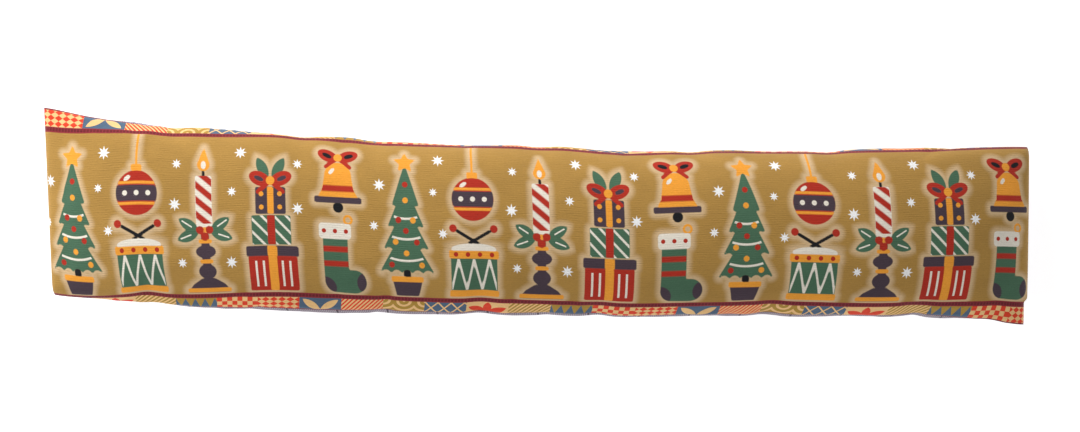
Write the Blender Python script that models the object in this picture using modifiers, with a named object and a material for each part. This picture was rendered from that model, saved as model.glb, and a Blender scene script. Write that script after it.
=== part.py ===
"""A filled draught excluder, lying on its back with its printed face up.

The cover is two cloth panels of the same size, a printed velvet front and a
plain woven back, sewn together along all four sides round a soft filling.
X runs along its length, Y across it towards its upper seam, and Z up out of
the printed face. The underside is flat where it rests, at Z = 0.
"""

import math
from collections import namedtuple

import bpy
import numpy as np

# Sizes of the cover laid flat, in metres
FLAT_WIDTH = 0.180
ROUND = 2.0 * FLAT_WIDTH

# Sizes of the filled excluder, in metres
LENGTH = 0.865
END_TAPER = 0.095
SEAM_THICKNESS = 0.005
SETTLE = 0.0055
CURL_RADIUS = 0.0105
SEAM_RIDGE = 0.0012

# How full the ends swell: 2 is a round nose, more is blunter
END_FULLNESS = 2.1

# The cage that Subdivision Surface smooths
STATIONS = 37
PANEL_STEPS = 14
END_CROWDING = 0.85
SEAM_CROWDING = 0.55
SEAM_CREASE = 0.6

# One row for each section. along is the share of the length from the left
# end, centre is how far the middle lies towards the upper seam, width is seen
# from above, and turn is how far the cover has rolled round its filling: a
# positive turn brings the lower seam up into view. fill is the plumpness.
Section = namedtuple("Section", "along centre width turn fill")
SECTIONS = [
    Section(0.000, 0.0275, 0.1655, -0.0100, 1.00),
    Section(0.080, 0.0195, 0.1615, -0.0025, 0.98),
    Section(0.162, 0.0135, 0.1610, 0.0025, 1.00),
    Section(0.244, 0.0095, 0.1590, 0.0085, 1.02),
    Section(0.305, 0.0068, 0.1585, 0.0085, 1.00),
    Section(0.345, 0.0052, 0.1562, 0.0085, 0.98),
    Section(0.426, 0.0030, 0.1532, 0.0085, 1.01),
    Section(0.508, 0.0023, 0.1525, 0.0075, 1.00),
    Section(0.589, -0.0005, 0.1485, 0.0065, 0.98),
    Section(0.670, 0.0002, 0.1480, 0.0078, 1.01),
    Section(0.751, -0.0006, 0.1472, 0.0093, 1.00),
    Section(0.832, 0.0004, 0.1482, 0.0068, 1.02),
    Section(0.914, -0.0003, 0.1515, 0.0088, 1.00),
    Section(1.000, -0.0022, 0.1565, 0.0100, 1.00),
]

# One row for each sewn end. upper_curl and lower_curl are the lengths of the
# flat seam that curl under at its two corners, camber is how far the seam
# bows up between them, height is its middle above the floor, slant is how far
# the lower corner is set in from the upper one, and drawn is how far the
# middle is pulled in between the corners.
End = namedtuple("End", "upper_curl lower_curl camber height slant drawn")
LEFT_END = End(0.002, 0.030, 0.003, 0.026, 0.0080, 0.0010)
RIGHT_END = End(0.0305, 0.003, 0.004, 0.028, 0.0030, 0.0012)

# One row for each soft trough that the seams pull into the filling. side is 1
# at the upper seam and -1 at the lower one, reach is its length across the
# panel and spread its half width along the seam.
Pucker = namedtuple("Pucker", "along side depth reach spread")
PUCKERS = [
    Pucker(0.110, -1, 0.0022, 0.026, 0.012),
    Pucker(0.130, 1, 0.0020, 0.026, 0.015),
    Pucker(0.262, 1, 0.0022, 0.030, 0.012),
    Pucker(0.335, 1, 0.0016, 0.024, 0.013),
    Pucker(0.440, -1, 0.0030, 0.028, 0.012),
    Pucker(0.500, 1, 0.0020, 0.030, 0.014),
    Pucker(0.560, -1, 0.0022, 0.024, 0.012),
    Pucker(0.655, 1, 0.0026, 0.030, 0.013),
    Pucker(0.730, -1, 0.0026, 0.026, 0.012),
    Pucker(0.790, 1, 0.0026, 0.028, 0.014),
    Pucker(0.880, -1, 0.0024, 0.026, 0.012),
    Pucker(0.960, -1, 0.0034, 0.034, 0.009),
]

# sRGB colours of the two cloths
FRONT_COLOUR = (0.66, 0.52, 0.28)
BACK_COLOUR = (0.56, 0.50, 0.53)
CLOTH_ROUGHNESS = 0.9


def clear_scene():
    for obj in list(bpy.data.objects):
        bpy.data.objects.remove(obj, do_unlink=True)


def linear(channel):
    """The linear value of one sRGB channel."""
    return channel / 12.92 if channel <= 0.04045 else ((channel + 0.055) / 1.055) ** 2.4


def cloth(name, colour):
    material = bpy.data.materials.new(name)
    material.use_nodes = True
    shader = material.node_tree.nodes["Principled BSDF"]
    shader.inputs["Base Color"].default_value = (*[linear(c) for c in colour], 1.0)
    shader.inputs["Roughness"].default_value = CLOTH_ROUGHNESS
    shader.inputs["Metallic"].default_value = 0.0
    return material


def column(name, shares):
    """A column of SECTIONS at the given shares of the length, on a smooth curve through its rows."""
    at = np.array([row.along for row in SECTIONS])
    value = np.array([getattr(row, name) for row in SECTIONS])
    slope = np.gradient(value, at)
    row = np.clip(np.searchsorted(at, shares, side="right") - 1, 0, len(at) - 2)
    step = at[row + 1] - at[row]
    t = (shares - at[row]) / step
    return (
        value[row] * (1 + 2 * t) * (1 - t) ** 2
        + value[row + 1] * t**2 * (3 - 2 * t)
        + step * t * (1 - t) * (slope[row] * (1 - t) - slope[row + 1] * t)
    )


def crowded(count, amount):
    """Numbers from 0 to 1, closer together at both ends by the given amount."""
    even = np.linspace(0.0, 1.0, count)
    return (1 - amount) * even + amount * 0.5 * (1 - np.cos(math.pi * even))


def half_height(half_width):
    """Half the height of an ellipse that is ROUND round its edge, found by halving."""
    low, high = 0.0, ROUND / (2 * math.pi)
    for _ in range(40):
        middle = 0.5 * (low + high)
        total = half_width + middle
        spread = 3 * ((half_width - middle) / total) ** 2
        if math.pi * total * (1 + spread / (10 + math.sqrt(4 - spread))) < ROUND:
            low = middle
        else:
            high = middle
    return middle


def on_tube(half_width, height, shares):
    """Y and Z at shares of the way round an ellipse, along its edge from its +Y side over the top."""
    angle = np.linspace(0.0, 2 * math.pi, 721)
    y = half_width * np.cos(angle)
    z = height * np.sin(angle)
    run = np.concatenate([[0.0], np.cumsum(np.hypot(np.diff(y), np.diff(z)))])
    found = np.interp(shares % 1.0, run / run[-1], angle)
    return half_width * np.cos(found), height * np.sin(found)


def on_end(end, width, across, front):
    """Y and Z along the flat end seam, at distances across it from its middle.

    The front lies half the seam's thickness above it and the back as far
    below, but at its two corners, the first places of each panel, they meet.
    """
    low = end.lower_curl - 0.5 * FLAT_WIDTH
    high = 0.5 * FLAT_WIDTH - end.upper_curl
    straight = np.clip(across, low, high)
    over = (across - straight) / CURL_RADIUS
    y = straight + CURL_RADIUS * np.sin(over)
    fitted = (y - 0.5 * (y.max() + y.min())) * width / (y.max() - y.min())
    z = end.height - CURL_RADIUS * (1 - np.cos(over))
    z = z - end.camber * (2 * fitted / width) ** 2
    outward = 0.5 * SEAM_THICKNESS * np.where(front, 1.0, -1.0)
    outward[[0, PANEL_STEPS]] = 0.0
    return fitted + outward * np.sin(over), z + outward * np.cos(over)


def across_panels():
    """Places round the cover: the front panel from the upper seam down, then the back panel up again.

    Gives the distance of each from the panel's middle, its share of the way
    round, and whether it is on the front.
    """
    step = crowded(PANEL_STEPS + 1, SEAM_CROWDING)[:-1]
    down = FLAT_WIDTH * (0.5 - step)
    across = np.concatenate([down, -down])
    share = 0.5 * np.concatenate([step, 1 + step])
    return across, share, np.arange(len(across)) < PANEL_STEPS


def puckered(at, across, front, swell):
    """How far in and how far down the seams pull each place at one station."""
    inward = np.zeros_like(across)
    down = np.zeros_like(across)
    for row in PUCKERS:
        away = np.abs(0.5 * FLAT_WIDTH * row.side - across)
        along = LENGTH * (at - row.along) / row.spread
        pull = swell * row.depth * np.exp(-(along**2) - away / row.reach)
        inward -= row.side * pull
        down -= pull * np.where(front, 1.0, -0.5)
    return inward, down


def ring(at):
    """The points round one station: a flat seam at the ends that swells into a tube on the floor."""
    centre, width, turn, fill = (column(name, at) for name in Section._fields[1:])
    across, share, front = across_panels()
    side = 2 * across / FLAT_WIDTH
    end = LEFT_END if at < 0.5 else RIGHT_END
    near = min(LENGTH * min(at, 1 - at) / END_TAPER, 1.0)
    swell = (1 - (1 - near) ** END_FULLNESS) ** (1 / END_FULLNESS)
    spread = near * near * (3 - 2 * near)
    height = fill * half_height(0.5 * width)
    tube_y, tube_z = on_tube(0.5 * width, height, share - turn / ROUND)
    end_y, end_z = on_end(end, width, across, front)
    inward, down = puckered(at, across, front, swell)
    ridge = np.zeros_like(across)
    ridge[[0, PANEL_STEPS]] = SEAM_RIDGE * swell, -SEAM_RIDGE * swell
    inset = end.slant * 0.5 * (1 - side) + end.drawn * (1 - side**2)
    x = LENGTH * (at - 0.5) + np.sign(0.5 - at) * inset * (1 - near) ** 2
    y = centre + (1 - spread) * end_y + spread * tube_y + inward + ridge
    z = (1 - swell) * end_z + swell * (tube_z + height - SETTLE) + down
    return np.stack([x, y, np.maximum(z, 0.0)], axis=1)


def cage():
    """All the points, ring by ring from the left end, with the middle of their box over the origin."""
    rings = np.array([ring(at) for at in crowded(STATIONS, END_CROWDING)])
    low = rings.min(axis=(0, 1))
    high = rings.max(axis=(0, 1))
    rings[..., :2] -= 0.5 * (low + high)[:2]
    return rings


def cage_faces():
    """Quads from ring to ring, and a strip that closes each sewn end between its two panels."""
    around = 2 * PANEL_STEPS
    faces = []
    for ring in range(STATIONS - 1):
        for k in range(around):
            here = ring * around + k
            beside = ring * around + (k + 1) % around
            faces.append((here, beside, beside + around, here + around))
    for first in (0, (STATIONS - 1) * around):
        for k in range(PANEL_STEPS):
            front_a, front_b = first + k, first + k + 1
            back_a, back_b = first + (around - k) % around, first + around - k - 1
            strip = [front_a, back_a, back_b, front_b]
            faces.append(tuple(dict.fromkeys(strip if first == 0 else strip[::-1])))
    return faces


def crease_seams(mesh):
    """Marks the four sewn edges, so that smoothing leaves them drawn in."""
    around = 2 * PANEL_STEPS
    last = STATIONS - 1
    crease = mesh.attributes.new("crease_edge", "FLOAT", "EDGE")
    for edge in mesh.edges:
        rings = {index // around for index in edge.vertices}
        places = {index % around for index in edge.vertices}
        if len(rings) == 1 and rings <= {0, last} and len(places) == 2:
            crease.data[edge.index].value = 1.0
        elif len(rings) == 2 and places in ({0}, {PANEL_STEPS}):
            crease.data[edge.index].value = SEAM_CREASE


def excluder(collection):
    """The one filled solid: the cage, its two cloths and its smoothing."""
    mesh = bpy.data.meshes.new("filled_cover")
    mesh.from_pydata(cage().reshape(-1, 3).tolist(), [], cage_faces())
    crease_seams(mesh)
    mesh.materials.append(cloth("printed_velvet", FRONT_COLOUR))
    mesh.materials.append(cloth("woven_back_cloth", BACK_COLOUR))
    for face in mesh.polygons:
        places = [index % (2 * PANEL_STEPS) for index in face.vertices]
        face.material_index = int(max(places) > PANEL_STEPS or 0 in places and 1 not in places)
    mesh.shade_smooth()
    obj = bpy.data.objects.new("filled_cover", mesh)
    smooth = obj.modifiers.new("Soft form", "SUBSURF")
    smooth.levels = 1
    smooth.render_levels = 1
    collection.objects.link(obj)


def main():
    clear_scene()
    collection = bpy.data.collections.new("draught_excluder")
    bpy.context.scene.collection.children.link(collection)
    excluder(collection)


main()
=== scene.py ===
# %% [markdown]
# # A draught excluder in printed velvet
#
# This lesson dresses one long filled cushion that lies along the foot of a
# door and keeps the draught out. Its cover is two panels, 900 by 180 mm: a
# printed velvet front and a plain woven back, sewn together along all four
# sides and filled firmly. It lies on its back with the printed face up.
#
# The cushion's size and place come from the frame, a plain solid that was
# modelled first. Everything below is in metres, with X along the cushion, Y
# across it towards its upper seam, and Z up out of the printed face.

# %% Load the frame
import math
from collections import namedtuple

import bpy
import numpy as np
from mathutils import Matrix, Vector


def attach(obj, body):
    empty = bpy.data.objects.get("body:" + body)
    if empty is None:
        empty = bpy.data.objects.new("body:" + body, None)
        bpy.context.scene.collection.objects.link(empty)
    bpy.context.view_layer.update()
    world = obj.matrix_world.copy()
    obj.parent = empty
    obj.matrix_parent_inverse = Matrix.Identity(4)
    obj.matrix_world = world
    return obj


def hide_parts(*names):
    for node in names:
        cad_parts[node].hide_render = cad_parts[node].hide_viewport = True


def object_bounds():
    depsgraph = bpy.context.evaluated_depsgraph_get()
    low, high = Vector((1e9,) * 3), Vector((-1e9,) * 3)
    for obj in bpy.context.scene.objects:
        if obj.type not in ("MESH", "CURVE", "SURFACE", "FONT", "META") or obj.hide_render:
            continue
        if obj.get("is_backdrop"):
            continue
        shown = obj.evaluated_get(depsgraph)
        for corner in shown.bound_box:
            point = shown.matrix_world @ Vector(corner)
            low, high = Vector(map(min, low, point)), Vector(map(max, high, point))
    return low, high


MM = 1000.0

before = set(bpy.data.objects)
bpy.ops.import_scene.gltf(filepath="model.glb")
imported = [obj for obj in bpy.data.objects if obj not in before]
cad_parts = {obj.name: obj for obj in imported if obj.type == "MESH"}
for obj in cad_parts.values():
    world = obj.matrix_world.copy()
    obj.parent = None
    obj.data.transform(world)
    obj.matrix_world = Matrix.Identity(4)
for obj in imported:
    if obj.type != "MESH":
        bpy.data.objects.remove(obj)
cad_low, cad_high = (list(corner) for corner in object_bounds())
print("frame box in mm:", [round(MM * (high - low), 1) for low, high in zip(cad_low, cad_high)])

# %% [markdown]
# ## The camera
#
# The photo looks straight down on the printed face. A camera with no turn at
# all already looks down, with Y up in the picture. How far away it stands
# shows in how much narrower the seams look than the crown: 1.5 m fits. The
# lens then follows from how much of the crown's plane the picture is wide.

# %% Set the camera
PICTURE_WIDE = 0.920
CAMERA_RISE = 1.5
CAMERA_ASIDE = 0.0035
SENSOR_WIDE = 36.0

camera = bpy.data.objects.new("camera", bpy.data.cameras.new("camera"))
camera.data.sensor_width = SENSOR_WIDE
camera.data.lens = SENSOR_WIDE * CAMERA_RISE / PICTURE_WIDE
camera.location = (CAMERA_ASIDE, 0.0, cad_high[2] + CAMERA_RISE)
bpy.context.scene.collection.objects.link(camera)
bpy.context.scene.camera = camera
print("lens in mm:", round(camera.data.lens, 1))

# %% [markdown]
# ## Colours and nodes
#
# Colours are picked as sRGB hex values, the way a picture stores them, but a
# renderer adds up light, so one function turns them linear. A second small
# function adds any node of a material: its settings go by name, and its inputs
# in order, each a value, another node, or one of a node's outputs.


# %% Two helpers
def linear(hex_colour):
    """The linear colour of an sRGB hex value: a power of 2.4, with a straight foot near black."""
    channels = np.array([int(hex_colour[i : i + 2], 16) for i in (1, 3, 5)]) / 255
    low = channels / 12.92
    high = ((channels + 0.055) / 1.055) ** 2.4
    return (*np.where(channels <= 0.04045, low, high).tolist(), 1.0)


def add(tree, kind, *inputs, named=None, **settings):
    """Adds one node to a tree, with its settings and the links to its inputs."""
    node = tree.nodes.new("ShaderNode" + kind)
    for name, value in settings.items():
        setattr(node, name, value)
    for place, value in [*enumerate(inputs), *(named or {}).items()]:
        if isinstance(value, bpy.types.Node):
            value = value.outputs[0]
        if isinstance(value, bpy.types.NodeSocket):
            tree.links.new(value, node.inputs[place])
        elif value is not None:
            node.inputs[place].default_value = value
    return node


def new_material(name):
    """An empty material and its node tree."""
    material = bpy.data.materials.new(name)
    material.use_nodes = True
    material.node_tree.nodes.clear()
    return material, material.node_tree


# %% [markdown]
# ## Floor and light
#
# The photo's light comes low over the upper left of the cushion, so the print
# is brightest along its upper side and at its left end, and falls off towards
# the lower right. A wide soft lamp stands there, and two small ones fill in
# from the ends. Such products are laid on a light table, a sheet of white acrylic
# that glows a little from below, which keeps the floor white round them.

# %% Lay the floor and hang the lamps
FLOOR_HALF = 6.0
FLOOR_DROP = 0.0003
Lamp = namedtuple("Lamp", "name place wide long watts colour")
LAMPS = [
    Lamp("window_lamp", (-0.86, 1.46, 0.55), 1.5, 0.6, 28.0, "#FFFDFA"),
    Lamp("side_lamp", (-1.3, -0.2, 0.9), 0.8, 0.8, 9.0, "#FFFFFF"),
    Lamp("end_lamp", (1.3, -0.5, 0.9), 0.8, 0.8, 3.0, "#FFFFFF"),
]
WORLD_COLOUR = "#FFFFFF"
WORLD_STRENGTH = 0.31
FLOOR_COLOUR = "#F4F4F3"
FLOOR_GLOW = 0.62

corner = FLOOR_HALF * np.array([[-1, -1, 0], [1, -1, 0], [1, 1, 0], [-1, 1, 0]])
floor_mesh = bpy.data.meshes.new("floor")
floor_mesh.from_pydata((corner - [0, 0, FLOOR_DROP]).tolist(), [], [(0, 1, 2, 3)])
floor = bpy.data.objects.new("floor", floor_mesh)
bpy.context.scene.collection.objects.link(floor)
material, tree = new_material("white_acrylic")
acrylic = {"Base Color": linear(FLOOR_COLOUR), "Roughness": 0.9, "Specular IOR Level": 0.2}
acrylic |= {"Emission Color": linear(WORLD_COLOUR), "Emission Strength": FLOOR_GLOW}
add(tree, "OutputMaterial", add(tree, "BsdfPrincipled", named=acrylic))
floor_mesh.materials.append(material)
floor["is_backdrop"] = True

for lamp in LAMPS:
    light = bpy.data.lights.new(lamp.name, "AREA")
    light.shape = "RECTANGLE"
    light.size, light.size_y = lamp.wide, lamp.long
    light.energy = lamp.watts
    light.color = linear(lamp.colour)[:3]
    held = bpy.data.objects.new(lamp.name, light)
    held.location = lamp.place
    held.rotation_euler = (-Vector(lamp.place)).to_track_quat("-Z", "Y").to_euler()
    bpy.context.scene.collection.objects.link(held)

world = bpy.data.worlds.new("studio")
world.use_nodes = True
world.node_tree.nodes.clear()
sky = add(world.node_tree, "Background", linear(WORLD_COLOUR), WORLD_STRENGTH)
add(world.node_tree, "OutputWorld", sky)
bpy.context.scene.world = world
bpy.context.scene.view_settings.view_transform = "Standard"
print("lamps:", [lamp.name for lamp in LAMPS])

# %% [markdown]
# ## The filled form
#
# A filled cover is a tube of cloth pinched flat at both ends. Each section
# across it is an ellipse with the whole 360 mm of cloth round it, so a section
# that looks narrower stands higher. The table gives, from the left end to the
# right one, how far the middle wanders, how wide it looks, and how far the
# cover has rolled round its filling, which is why the lower border shows along
# most of it. It could be a box with a Subdivision Surface modifier, but then
# nothing would keep the cloth its true size, and the print would stretch.

# %% Sizes and sections
FLAT_LONG, FLAT_WIDE = 0.900, 0.180
ROUND = 2 * FLAT_WIDE
FILLED_LONG = 0.865
END_TAPER, END_FULLNESS = 0.095, 2.1
CURL_RADIUS = 0.0105
SETTLE = 0.0055
HALVINGS = 40

Section = namedtuple("Section", "along centre width turn fill")
SECTIONS = [
    Section(0.000, 0.0275, 0.1655, -0.0100, 1.00),
    Section(0.080, 0.0195, 0.1615, -0.0025, 0.98),
    Section(0.162, 0.0135, 0.1610, 0.0025, 1.00),
    Section(0.244, 0.0095, 0.1590, 0.0085, 1.02),
    Section(0.305, 0.0068, 0.1585, 0.0085, 1.00),
    Section(0.345, 0.0052, 0.1562, 0.0085, 0.98),
    Section(0.426, 0.0030, 0.1532, 0.0085, 1.01),
    Section(0.508, 0.0023, 0.1525, 0.0075, 1.00),
    Section(0.589, -0.0005, 0.1485, 0.0065, 0.98),
    Section(0.670, 0.0002, 0.1480, 0.0078, 1.01),
    Section(0.751, -0.0006, 0.1472, 0.0093, 1.00),
    Section(0.832, 0.0004, 0.1482, 0.0068, 1.02),
    Section(0.914, -0.0003, 0.1515, 0.0088, 1.00),
    Section(1.000, -0.0022, 0.1565, 0.0100, 1.00),
]

End = namedtuple("End", "upper_curl lower_curl camber height slant drawn")
ENDS = [
    End(0.002, 0.030, 0.003, 0.026, 0.0080, 0.0010),
    End(0.0305, 0.003, 0.004, 0.028, 0.0030, 0.0012),
]


def column(name, shares):
    """A column of the table at shares of the length: cubic pieces that keep each row's value and slope."""
    at = np.array([row.along for row in SECTIONS])
    value = np.array([getattr(row, name) for row in SECTIONS])
    slope = np.gradient(value, at)
    row = np.clip(np.searchsorted(at, shares, side="right") - 1, 0, len(at) - 2)
    step = at[row + 1] - at[row]
    t = (shares - at[row]) / step
    values = value[row] * (1 + 2 * t) * (1 - t) ** 2 + value[row + 1] * t**2 * (3 - 2 * t)
    return values + step * t * (1 - t) * (slope[row] * (1 - t) - slope[row + 1] * t)


def half_height(half_width):
    """Half the height of an ellipse with all the cloth round it, by halving the range it can lie in.

    The length round an ellipse is pi times the sum of its half axes, times a
    little more the flatter it is.
    """
    low, high = np.zeros_like(half_width), np.full_like(half_width, ROUND / (2 * math.pi))
    for _ in range(HALVINGS):
        middle = 0.5 * (low + high)
        total = half_width + middle
        flatness = 3 * ((half_width - middle) / total) ** 2
        too_short = math.pi * total * (1 + flatness / (10 + np.sqrt(4 - flatness))) < ROUND
        low, high = np.where(too_short, middle, low), np.where(too_short, high, middle)
    return middle


# %% [markdown]
# Two more shapes make the form: the ellipse walked in equal steps of cloth,
# and the flat seam of an end. At one corner of each end the seam curls under
# and out of sight, as a sewn corner does when the filling pulls it back.


# %% The tube, the ends and the whole form
WALK_POINTS = 721
CLOTH_ROWS, PANEL_ROWS = 217, 44
FORM_ROWS = 1201


def on_tubes(half_widths, heights, shares):
    """Y and Z on one ellipse for each row, at shares of the way round it, found by a walk in fine steps."""
    angle = np.linspace(0, 2 * math.pi, WALK_POINTS)
    y = half_widths[:, None] * np.cos(angle)
    z = heights[:, None] * np.sin(angle)
    walked = np.cumsum(np.hypot(np.diff(y), np.diff(z)), axis=1)
    walked = np.pad(walked / walked[:, -1:], ((0, 0), (1, 0)))
    found = np.array([np.interp(share % 1, way, angle) for share, way in zip(shares, walked)])
    return half_widths[:, None] * np.cos(found), heights[:, None] * np.sin(found)


def on_end(end, width, across):
    """Y and Z along a flat end seam: straight, then an arc where a corner curls under, and bowed up."""
    straight = np.clip(across, end.lower_curl - 0.5 * FLAT_WIDE, 0.5 * FLAT_WIDE - end.upper_curl)
    turned = (across - straight) / CURL_RADIUS
    y = straight + CURL_RADIUS * np.sin(turned)
    y = (y - 0.5 * (y.max() + y.min())) * width / (y.max() - y.min())
    return y, end.height - CURL_RADIUS * (1 - np.cos(turned)) - end.camber * (2 * y / width) ** 2


def round_panels(steps):
    """Places across the panels for one ring: from the upper seam down the front, and up the back."""
    down = FLAT_WIDE * (0.5 - np.arange(steps) / steps)
    return np.concatenate([down, -down])


def filled_form(along, steps):
    """Points by place along the cushion and round it, from the upper seam down the front and up the back.

    The end seam turns into the tube over the taper: in Z by a blunt nose, one
    minus the rest to a power, and in Y by a soft S. Z stops at the floor.
    """
    across = round_panels(steps)
    share = np.arange(2 * steps) / (2 * steps)
    centre, width, turn, fill = (column(name, along)[:, None] for name in Section._fields[1:])
    near = np.minimum(FILLED_LONG * np.minimum(along, 1 - along) / END_TAPER, 1)[:, None]
    swell = (1 - (1 - near) ** END_FULLNESS) ** (1 / END_FULLNESS)
    spread = near * near * (3 - 2 * near)
    height = fill * half_height(0.5 * width)
    tube_y, tube_z = on_tubes(0.5 * width[:, 0], height[:, 0], share - turn / ROUND)
    side = 2 * across / FLAT_WIDE
    y = centre + spread * tube_y
    z = swell * (tube_z + height - SETTLE)
    x = FILLED_LONG * (along[:, None] - 0.5) + 0 * y
    for end, row, sign in zip(ENDS, (SECTIONS[0], SECTIONS[-1]), (1, -1)):
        here = np.sign(0.5 - along[:, None]) == sign
        end_y, end_z = on_end(end, row.width, across)
        inset = end.slant * 0.5 * (1 - side) + end.drawn * (1 - side**2)
        x += here * sign * inset * (1 - near) ** 2
        y += here * (1 - spread) * end_y * width / row.width
        z += here * (1 - swell) * end_z
    return np.stack([x, y, np.maximum(z, 0)], axis=-1)


def evenly_laid(points, count):
    """The same lines along the cushion, each with its points equal lengths of cloth apart."""
    walked = np.cumsum(np.linalg.norm(np.diff(points, axis=0), axis=2), axis=0)
    walked = np.pad(walked, ((1, 0), (0, 0)))
    share = np.linspace(0, 1, count)
    lines = [
        np.stack([np.interp(share * way[-1], way, line[:, axis]) for axis in range(3)], axis=-1)
        for way, line in zip(walked.T, points.transpose(1, 0, 2))
    ]
    return np.stack(lines, axis=1)


def box_of(points):
    """The size of the box round a grid of points, in millimetres."""
    return np.round(MM * (points.max(axis=(0, 1)) - points.min(axis=(0, 1))), 1)


form = evenly_laid(filled_form(np.linspace(0, 1, FORM_ROWS), PANEL_ROWS), CLOTH_ROWS)
form[..., :2] -= 0.5 * (form.min(axis=(0, 1)) + form.max(axis=(0, 1)))[:2]
print("filled form in mm:", box_of(form))

# %% [markdown]
# ## Wrinkles from a cloth simulation
#
# The form has the cushion's outline but none of its small life: the thread
# draws the seams in, so the cloth beside them is longer than its room and
# gathers. Blender's cloth does this well. The cloth beside the seams is given
# a few hundredths of spare length, pressure stands for the filling, and a soft
# hold keeps the outline. What the simulation moves broadly is taken off again,
# so that only its wrinkles are added to the form.

# %% Simulate the gathered cloth
SPARE_EVERYWHERE, SPARE_BY_SEAMS = 0.004, 0.05
END_SHARE = 0.6
GATHER_FROM, GATHER_TO = 0.012, 0.037
STITCH_ZONE = 0.006
SOFT_HOLD, END_HOLD, END_HOLD_REACH = 0.04, 0.5, 0.03
CLOTH_FRAMES = 20
CLOTH_SETTINGS = {
    "quality": 6,
    "mass": 0.02,
    "tension_stiffness": 15.0,
    "compression_stiffness": 15.0,
    "shear_stiffness": 5.0,
    "bending_stiffness": 2.0,
    "air_damping": 2.0,
    "use_pressure": True,
    "uniform_pressure_force": 3.0,
    "vertex_group_mass": "hold",
    "pin_stiffness": 1.0,
    "vertex_group_shrink": "slack",
    "shrink_min": -SPARE_EVERYWHERE,
    "shrink_max": -SPARE_BY_SEAMS,
}
WRINKLE_REACH = 0.030
WRINKLE_SHARE = 0.55
WRINKLE_FADE = 0.02
MOST_MOVED = 0.006


def ring_numbers(rows, panel_rows):
    """A number for each point of the rings, the front and back of each end seam sharing theirs."""
    around = 2 * panel_rows
    numbers = np.arange(rows * around).reshape(rows, around)
    for row in (0, rows - 1):
        numbers[row, panel_rows + 1 :] = numbers[row, panel_rows - 1 : 0 : -1]
    kept, numbers = np.unique(numbers, return_inverse=True)
    return kept, numbers.reshape(rows, around)


def weigh(obj, name, weights):
    """A vertex group with these weights, added in steps of a hundredth."""
    group = obj.vertex_groups.new(name=name)
    for weight in np.unique(np.round(weights, 2)):
        group.add(np.flatnonzero(np.round(weights, 2) == weight).tolist(), float(weight), "REPLACE")


def blurred(rows, reach, spacing, closed):
    """A matrix that averages neighbours: weights fall as a bell curve of their distance over the reach."""
    apart = np.abs(np.arange(rows)[:, None] - np.arange(rows))
    apart = np.minimum(apart, rows - apart) if closed else apart
    weights = np.exp(-((apart * spacing / reach) ** 2))
    return weights / weights.sum(axis=1, keepdims=True)


def gathered(form):
    """How far the cloth simulation moves each point of the form, less its broad movement."""
    rows, around = form.shape[:2]
    kept, numbers = ring_numbers(rows, around // 2)
    start = form.reshape(-1, 3)[kept]
    beside = np.roll(numbers, -1, axis=1)
    faces = np.stack([numbers[:-1], beside[:-1], beside[1:], numbers[1:]], axis=-1).reshape(-1, 4)
    mesh = bpy.data.meshes.new("cloth_at_work")
    mesh.from_pydata(start.tolist(), [], faces.tolist())
    obj = bpy.data.objects.new("cloth_at_work", mesh)
    bpy.context.scene.collection.objects.link(obj)

    side_seam = 0.5 * FLAT_WIDE - np.abs(round_panels(around // 2))
    end_seam = 0.5 * FLAT_LONG - np.abs(np.linspace(-0.5, 0.5, rows)) * FLAT_LONG
    slack = [
        np.clip(away / STITCH_ZONE, 0, 1) * np.clip((GATHER_TO - away) / (GATHER_TO - GATHER_FROM), 0, 1)
        for away in (side_seam[None] + 0 * end_seam[:, None], end_seam[:, None] + 0 * side_seam)
    ]
    weigh(obj, "slack", np.maximum(slack[0], END_SHARE * slack[1]).ravel()[kept])
    firm = np.clip(1 - end_seam / END_HOLD_REACH, 0, 1)[:, None] + 0 * side_seam
    weigh(obj, "hold", (SOFT_HOLD + (END_HOLD - SOFT_HOLD) * firm).ravel()[kept])

    cloth = obj.modifiers.new("Cloth", "CLOTH")
    cloth.point_cache.frame_end = CLOTH_FRAMES
    cloth.collision_settings.use_collision = False
    for name, value in CLOTH_SETTINGS.items():
        setattr(cloth.settings, name, value)
    cloth.settings.effector_weights.gravity = 0.0
    for step in range(1, CLOTH_FRAMES + 1):
        bpy.context.scene.frame_set(step)
    settled = obj.evaluated_get(bpy.context.evaluated_depsgraph_get()).to_mesh()
    places = np.empty(3 * len(settled.vertices), np.float32)
    settled.vertices.foreach_get("co", places)
    bpy.context.scene.frame_set(1)
    bpy.data.objects.remove(obj)

    moved = (places.reshape(-1, 3) - start)[numbers]
    along = blurred(rows, WRINKLE_REACH, FLAT_LONG / (rows - 1), closed=False)
    round_it = blurred(around, WRINKLE_REACH, ROUND / around, closed=True)
    broad = np.einsum("ar,rkc,ik->aic", along, moved, round_it)
    wrinkles = WRINKLE_SHARE * (moved - broad)
    wrinkles *= np.clip(end_seam / WRINKLE_FADE, 0, 1)[:, None, None]
    length = np.linalg.norm(wrinkles, axis=2, keepdims=True)
    return wrinkles * np.minimum(1, MOST_MOVED / np.maximum(length, 1e-9))


wrinkles = gathered(form)
print("wrinkles in mm: most", round(MM * float(np.abs(wrinkles).max()), 1))

# %% [markdown]
# ## Soft troughs along the seams
#
# Every few hands the long seams pull a shallow trough into the filling. They
# make the printed stripes waver. Their places follow the photo, so they are a
# short table and not chance.

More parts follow.
